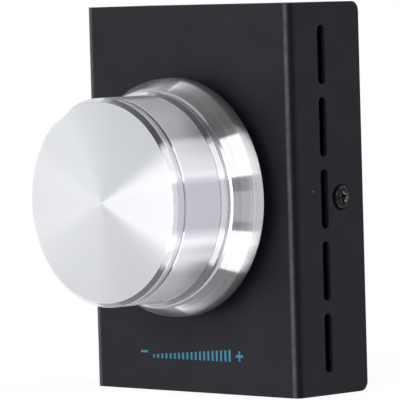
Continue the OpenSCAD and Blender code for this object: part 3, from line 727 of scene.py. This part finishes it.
def turned(name, line, breaks, steps):
    """Turns a profile of (radius, distance ahead of the panel) in mm round the knob's axis."""
    mesh = bmesh.new()
    points = [mesh.verts.new((r * MM, PANEL_Y * MM - ahead * MM, AXIS_Z * MM)) for r, ahead in line]
    for one, two in zip(points, points[1:]):
        mesh.edges.new((one, two))
    corners = [v for v in points if len(v.link_edges) == 2]
    bmesh.ops.bevel(mesh, geom=corners, offset=breaks * MM, offset_type="OFFSET", segments=3,
                    profile=0.5, affect="VERTICES", material=-1, clamp_overlap=True)
    bmesh.ops.spin(mesh, geom=mesh.verts[:] + mesh.edges[:], cent=(0, 0, AXIS_Z * MM), axis=(0, 1, 0),
                   angle=2 * math.pi, steps=steps, use_merge=True)
    bmesh.ops.remove_doubles(mesh, verts=mesh.verts[:], dist=1e-7)
    bmesh.ops.recalc_face_normals(mesh, faces=mesh.faces[:])
    for face in mesh.faces:
        face.smooth = True
    for edge in mesh.edges:
        if edge.calc_face_angle(0) > math.radians(20):
            edge.smooth = False
    return as_object(name, mesh)


knob = turned("turned_knob", [(0, KNOB_FRONT)] + outside + inside + [(0, KNOB_FRONT - 3.3)],
              EDGE_BREAK, TURN_STEPS)


def turning_marks_group():
    """The tool's marks on a turned piece: they change with radius and along the axis only."""
    group = bpy.data.node_groups.new("turning_marks", "ShaderNodeTree")
    group.interface.new_socket("Vector", in_out="INPUT", socket_type="NodeSocketVector")
    group.interface.new_socket("Marks per m", in_out="INPUT", socket_type="NodeSocketFloat")
    group.interface.new_socket("Height", in_out="OUTPUT", socket_type="NodeSocketFloat")
    group.interface.new_socket("Streaks", in_out="OUTPUT", socket_type="NodeSocketFloat")
    start = group.nodes.new("NodeGroupInput")
    end = group.nodes.new("NodeGroupOutput")
    across = add_node(group, "VectorMath", {1: (1, 0, 1)}, operation="MULTIPLY")
    radius = add_node(group, "VectorMath", operation="LENGTH")
    split = add_node(group, "SeparateXYZ")
    join = add_node(group, "CombineXYZ")
    fine = add_node(group, "TexNoise", {"Detail": 2.0, "Roughness": 0.7}, noise_dimensions="2D")
    broad = add_node(group, "TexNoise", {"Scale": 1900.0, "Detail": 3.0, "Roughness": 0.6},
                     noise_dimensions="2D")
    group.links.new(start.outputs["Vector"], across.inputs[0])
    group.links.new(across.outputs[0], radius.inputs[0])
    group.links.new(start.outputs["Vector"], split.inputs[0])
    group.links.new(radius.outputs["Value"], join.inputs["X"])
    group.links.new(split.outputs["Y"], join.inputs["Y"])
    group.links.new(join.outputs[0], fine.inputs["Vector"])
    group.links.new(start.outputs["Marks per m"], fine.inputs["Scale"])
    group.links.new(join.outputs[0], broad.inputs["Vector"])
    group.links.new(fine.outputs["Fac"], end.inputs["Height"])
    group.links.new(broad.outputs["Fac"], end.inputs["Streaks"])
    return group


turning_marks = turning_marks_group()
MARKS_PER_M = 9000.0
MARKS_HEIGHT = 0.000002


def turned_metal(name, colour, roughness, lean, forward=0.0, streaks=0.008, glints=0.008):
    """Turned metal: reflections spread across the tool's marks. lean is how far the marks'
    flanks lean away from the axis, and forward is how far they lean to the front. streaks and
    glints are how much darker and brighter it gets from mark to mark."""
    material = bpy.data.materials.new(name)
    material.use_nodes = True
    tree = material.node_tree
    surface = tree.nodes["Principled BSDF"]
    surface.inputs["Metallic"].default_value = 1.0
    surface.inputs["Anisotropic"].default_value = 1.0
    surface.inputs["Anisotropic Rotation"].default_value = 0.25
    where = add_node(tree, "TexCoord")
    centred = add_node(tree, "Mapping", {"Location": (0, 0, -AXIS_Z * MM)})
    marks = add_node(tree, "Group", node_tree=turning_marks)
    marks.inputs["Marks per m"].default_value = MARKS_PER_M
    outward = add_node(tree, "VectorMath", {1: (1, 0, 1)}, operation="MULTIPLY")
    outward_unit = add_node(tree, "VectorMath", operation="NORMALIZE")
    outward_world = add_node(tree, "VectorTransform", vector_type="VECTOR",
                             convert_from="OBJECT", convert_to="WORLD")
    round_world = add_node(tree, "VectorMath", {1: (0, 1, 0)}, operation="CROSS_PRODUCT")
    leaning = add_node(tree, "VectorMath", {"Scale": lean}, operation="SCALE")
    geometry = add_node(tree, "NewGeometry")
    leant = add_node(tree, "VectorMath", operation="ADD")
    leant_forward = add_node(tree, "VectorMath", {1: (0, -forward, 0)}, operation="ADD")
    leant_unit = add_node(tree, "VectorMath", operation="NORMALIZE")
    bump = add_node(tree, "Bump", {"Strength": 0.15, "Distance": MARKS_HEIGHT})
    tone = add_node(tree, "Mix", data_type="RGBA")
    tone.inputs[6].default_value = [(1 - streaks) * c for c in colour] + [1]
    tone.inputs[7].default_value = [(1 + glints) * c for c in colour] + [1]
    share = add_node(tree, "MapRange", {"From Min": 0.3, "From Max": 0.7})
    gloss = add_node(tree, "MapRange", {"From Min": 0.3, "From Max": 0.7,
                                        "To Min": roughness - 0.006, "To Max": roughness + 0.006})
    tree.links.new(where.outputs["Object"], centred.inputs["Vector"])
    tree.links.new(centred.outputs[0], marks.inputs["Vector"])
    tree.links.new(centred.outputs[0], outward.inputs[0])
    tree.links.new(outward.outputs[0], outward_unit.inputs[0])
    tree.links.new(outward_unit.outputs[0], outward_world.inputs[0])
    tree.links.new(outward_world.outputs[0], round_world.inputs[0])
    tree.links.new(round_world.outputs[0], surface.inputs["Tangent"])
    tree.links.new(outward_world.outputs[0], leaning.inputs[0])
    tree.links.new(leaning.outputs[0], leant.inputs[0])
    tree.links.new(geometry.outputs["Normal"], leant.inputs[1])
    tree.links.new(leant.outputs[0], leant_forward.inputs[0])
    tree.links.new(leant_forward.outputs[0], leant_unit.inputs[0])
    tree.links.new(leant_unit.outputs[0], bump.inputs["Normal"])
    tree.links.new(marks.outputs["Height"], bump.inputs["Height"])
    tree.links.new(bump.outputs["Normal"], surface.inputs["Normal"])
    tree.links.new(marks.outputs["Streaks"], share.inputs["Value"])
    tree.links.new(share.outputs["Result"], tone.inputs["Factor"])
    tree.links.new(tone.outputs[2], surface.inputs["Base Color"])
    tree.links.new(marks.outputs["Streaks"], gloss.inputs["Value"])
    tree.links.new(gloss.outputs["Result"], surface.inputs["Roughness"])
    return material


# The last finish is painted shade: a dark metal that darkens the root of the V-groove and the corner
# where the barrel meets the bead.
FRONT, BARREL, BRIGHT, RIM, SHADED_ROOT = range(5)
for finish in (turned_metal("front_finish", (0.86, 0.86, 0.88), 0.30, 0.16),
               turned_metal("barrel_finish", (0.84, 0.84, 0.885), 0.28, 0.0, streaks=0.01, glints=0.01),
               turned_metal("bright_cut", (0.89, 0.89, 0.92), 0.17, 0.0, streaks=0.014, glints=0.085),
               turned_metal("rim_finish", (0.80, 0.80, 0.83), 0.23, 0.0, forward=0.24),
               turned_metal("groove_painted_shade", (0.22, 0.22, 0.24), 0.30, 0.0)):
    knob.data.materials.append(finish)
bead_corner = KNOB_BACK + 9.98
for face in knob.data.polygons:
    radius = math.hypot(face.center.x, face.center.z - AXIS_Z * MM) / MM
    ahead = PANEL_Y - face.center.y / MM
    in_groove = abs(ahead - groove) < 0.25 and radius < BARREL_R - 0.16
    in_corner = abs(ahead - bead_corner) < 0.09 and radius < BARREL_R + 0.1
    along_axis = abs(face.normal.y) < 0.1
    # Faces in the groove's root and at the bead's corner take the painted shade.
    if in_groove or in_corner:
        face.material_index = SHADED_ROOT
    elif face.normal.y < -0.99:
        face.material_index = FRONT
    elif along_axis and radius < BARREL_R + 0.3:
        face.material_index = BARREL
    elif along_axis and radius > BARREL_R + 1.2:
        face.material_index = RIM
    else:
        face.material_index = BRIGHT
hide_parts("knob")
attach(knob, "knob")

# The shaft is 6 mm steel bar, turned to size and milled flat on one side for the hub. It slides
# through the rotor when the knob is pressed.
give(turned_metal("shaft_steel", (0.60, 0.60, 0.61), 0.26, 0.0), "encoder_shaft")

# The hub is a black moulding pressed into the knob. Its split end grips the shaft, and a band of
# spring steel closes round it.
give(grained("hub_moulding", (0.020, 0.020, 0.021), (0.034, 0.033, 0.033), 0.0, 0.40, grain=1900.0),
     "knob_hub")
give(grained("clip_steel", (0.56, 0.55, 0.53), (0.42, 0.40, 0.37), 1.0, 0.22, grain=1700.0,
             stretch=(1, 1, 6)), "hub_clip")

# The circuit board is glass laminate with a green solder mask over copper tracks. Its sawn edges
# show the bare laminate.
MASK_GREEN = (0.010, 0.095, 0.038, 1)
MASK_DEEP = (0.006, 0.060, 0.024, 1)
TRACK_GREEN = (0.030, 0.200, 0.085, 1)
LAMINATE = (0.42, 0.38, 0.22, 1)


def tracks_group():
    """Copper tracks under the mask: straight runs with their crossings set off row by row."""
    group = bpy.data.node_groups.new("tracks", "ShaderNodeTree")
    group.interface.new_socket("Vector", in_out="INPUT", socket_type="NodeSocketVector")
    group.interface.new_socket("Track", in_out="OUTPUT", socket_type="NodeSocketFloat")
    start = group.nodes.new("NodeGroupInput")
    end = group.nodes.new("NodeGroupOutput")
    flat = add_node(group, "Mapping", {"Rotation": (math.radians(90), 0, 0)})
    runs = add_node(group, "TexBrick", {"Scale": 220.0, "Mortar Size": 0.05, "Mortar Smooth": 0.1,
                                        "Brick Width": 1.9, "Row Height": 0.38})
    here = add_node(group, "TexNoise", {"Scale": 130.0, "Detail": 1.0})
    some = add_node(group, "MapRange", {"From Min": 0.45, "From Max": 0.50})
    track = add_node(group, "Math", operation="MULTIPLY")
    group.links.new(start.outputs["Vector"], flat.inputs["Vector"])
    group.links.new(flat.outputs[0], runs.inputs["Vector"])
    group.links.new(start.outputs["Vector"], here.inputs["Vector"])
    group.links.new(here.outputs["Fac"], some.inputs["Value"])
    group.links.new(runs.outputs["Fac"], track.inputs[0])
    group.links.new(some.outputs["Result"], track.inputs[1])
    group.links.new(track.outputs[0], end.inputs["Track"])
    return group


def board_material():
    """Green solder mask, raised a little over its tracks, with bare laminate at the edges."""
    material = bpy.data.materials.new("solder_mask")
    material.use_nodes = True
    tree = material.node_tree
    surface = tree.nodes["Principled BSDF"]
    where = add_node(tree, "TexCoord")
    texture = add_node(tree, "Group", node_tree=surface_grain)
    texture.inputs["Grain per m"].default_value = 1500.0
    texture.inputs["Stretch"].default_value = (1, 1, 1)
    tracks = add_node(tree, "Group", node_tree=tracks_group())
    tone = add_node(tree, "Mix", data_type="RGBA")
    tone.inputs[6].default_value = MASK_DEEP
    tone.inputs[7].default_value = MASK_GREEN
    tracked = add_node(tree, "Mix", data_type="RGBA")
    tracked.inputs[7].default_value = TRACK_GREEN
    edged = add_node(tree, "Mix", data_type="RGBA")
    edged.inputs[6].default_value = LAMINATE
    facing = add_node(tree, "SeparateXYZ")
    upright = add_node(tree, "Math", operation="ABSOLUTE")
    on_face = add_node(tree, "Math", {1: 0.5}, operation="GREATER_THAN")
    gloss = add_node(tree, "MapRange", {"From Min": 0.3, "From Max": 0.7, "To Min": 0.22, "To Max": 0.34})
    bump = add_node(tree, "Bump", {"Strength": 0.6, "Distance": 0.00003})
    tree.links.new(where.outputs["Object"], texture.inputs["Vector"])
    tree.links.new(where.outputs["Object"], tracks.inputs["Vector"])
    tree.links.new(texture.outputs["Mottle"], tone.inputs["Factor"])
    tree.links.new(tone.outputs[2], tracked.inputs[6])
    tree.links.new(tracks.outputs["Track"], tracked.inputs["Factor"])
    tree.links.new(where.outputs["Normal"], facing.inputs[0])
    tree.links.new(facing.outputs["Y"], upright.inputs[0])
    tree.links.new(upright.outputs[0], on_face.inputs[0])
    tree.links.new(on_face.outputs[0], edged.inputs["Factor"])
    tree.links.new(tracked.outputs[2], edged.inputs[7])
    tree.links.new(edged.outputs[2], surface.inputs["Base Color"])
    tree.links.new(texture.outputs["Height"], gloss.inputs["Value"])
    tree.links.new(gloss.outputs["Result"], surface.inputs["Roughness"])
    tree.links.new(tracks.outputs["Track"], bump.inputs["Height"])
    tree.links.new(bump.outputs["Normal"], surface.inputs["Normal"])
    return material


give(board_material(), "circuit_board")

# Solder wets each pin on the board's back in a bright cone. The chip's leads are stamped,
# bent and tinned, and lie flat on their pads.
give(grained("solder", (0.70, 0.70, 0.72), (0.52, 0.52, 0.53), 1.0, 0.24, grain=2600.0, height=0.00002),
     "solder_joints")
give(grained("lead_tin", (0.66, 0.66, 0.67), (0.52, 0.51, 0.50), 1.0, 0.34, grain=3400.0),
     "chip_leads")

# The controller is a chip in a black epoxy body, moulded round its leads and ground matt on its
# face.
give(grained("chip_epoxy", (0.014, 0.014, 0.015), (0.022, 0.022, 0.022), 0.0, 0.56, grain=5200.0,
             height=0.000012), "controller_chip")

# The clock crystal's can is drawn nickel silver, and the two capacitors' cans are aluminium with
# a polished skin.
give(grained("crystal_can", (0.66, 0.65, 0.62), (0.54, 0.53, 0.50), 1.0, 0.20, grain=1400.0,
             stretch=(5, 1, 1)), "crystal")
give(grained("capacitor_can", (0.78, 0.78, 0.80), (0.66, 0.66, 0.68), 1.0, 0.26, grain=1800.0,
             stretch=(1, 0.2, 1)), "capacitors")

# The smallest parts are fired ceramic blocks, brown and slightly glossy, soldered flat on the
# board.
give(grained("fired_ceramic", (0.30, 0.21, 0.13), (0.22, 0.15, 0.09), 0.0, 0.40, grain=3600.0),
     "chip_parts")

# The inlet has a stamped, nickel plated shell round a black moulded tongue, which holds gold
# plated contacts. It sits on the board's edge, under the hole in the top wall.
give(grained("inlet_plate", (0.66, 0.64, 0.60), (0.54, 0.52, 0.47), 1.0, 0.24, grain=1500.0,
             stretch=(1, 1, 0.2)), "usb_shell")
give(grained("inlet_moulding", (0.015, 0.015, 0.016), (0.026, 0.025, 0.025), 0.0, 0.50, grain=3000.0),
     "usb_tongue")
give(grained("gold_plate", (0.86, 0.64, 0.28), (0.74, 0.54, 0.24), 1.0, 0.18, grain=2600.0,
             stretch=(1, 1, 0.2)), "usb_contacts")
